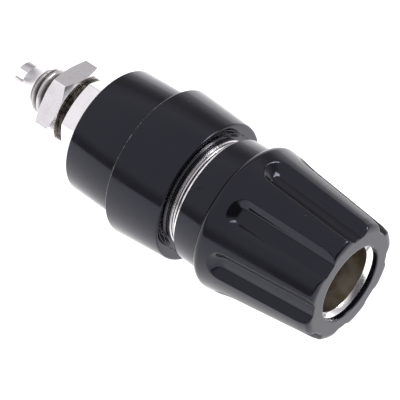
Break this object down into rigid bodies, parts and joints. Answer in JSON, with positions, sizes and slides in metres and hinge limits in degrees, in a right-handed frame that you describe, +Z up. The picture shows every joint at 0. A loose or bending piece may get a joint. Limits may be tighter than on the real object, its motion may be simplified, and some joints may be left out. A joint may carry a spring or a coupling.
{
  "type": "insulated panel binding post",
  "caption": "Insulated panel binding post with a fluted captive screw knob, plug socket, two part bush, hex nuts, threaded stud and slotted solder tail.",
  "frame": {"origin": "on the post's axis, in the panel seat, which is the rear face of the front bush", "axes": "+X along the axis towards the knob's front face, +Z up with the panel vertical"},
  "size_m": [0.0413, 0.0156, 0.0156],
  "materials": {
    "nickel": "bright nickel plate on turned brass",
    "spring_steel": "dark oiled spring steel",
    "black_plastic": "glossy black moulded plastic"
  },
  "bodies": {
    "post": {"stud": "nickel", "stop_ring": "nickel", "front_bush": "black_plastic", "rear_bush": "black_plastic", "plain_washer": "nickel", "mounting_nut": "nickel"},
    "clamp_ring": {"clamp_washer": "nickel"},
    "knob": {"knob_insert": "nickel", "knob_shell": "black_plastic"},
    "lock_ring": {"lock_washer": "spring_steel"},
    "rear_nut": {"terminal_nut": "nickel"}
  },
  "joints": [
    {"name": "clamp_slide", "type": "slide", "parent": "post", "child": "clamp_ring", "axis": [1, 0, 0], "range_m": [-0.00031, 0.004]},
    {"name": "knob_turn", "type": "hinge", "parent": "clamp_ring", "child": "knob", "pos_m": [0.015, 0, 0], "axis": [1, 0, 0], "range_deg": [-150.1, 1920.1]},
    {"name": "lock_slide", "type": "slide", "parent": "post", "child": "lock_ring", "axis": [-1, 0, 0], "range_m": [0, 0.0026]},
    {"name": "nut_turn", "type": "hinge", "parent": "lock_ring", "child": "rear_nut", "pos_m": [-0.0113, 0, 0], "axis": [-1, 0, 0], "range_deg": [-0.1, 1170.1]}
  ],
  "couplings": [
    {"joint": "knob_turn", "follows": "clamp_slide", "rad_per_m": 8377.6},
    {"joint": "nut_turn", "follows": "lock_slide", "rad_per_m": 7854}
  ]
}
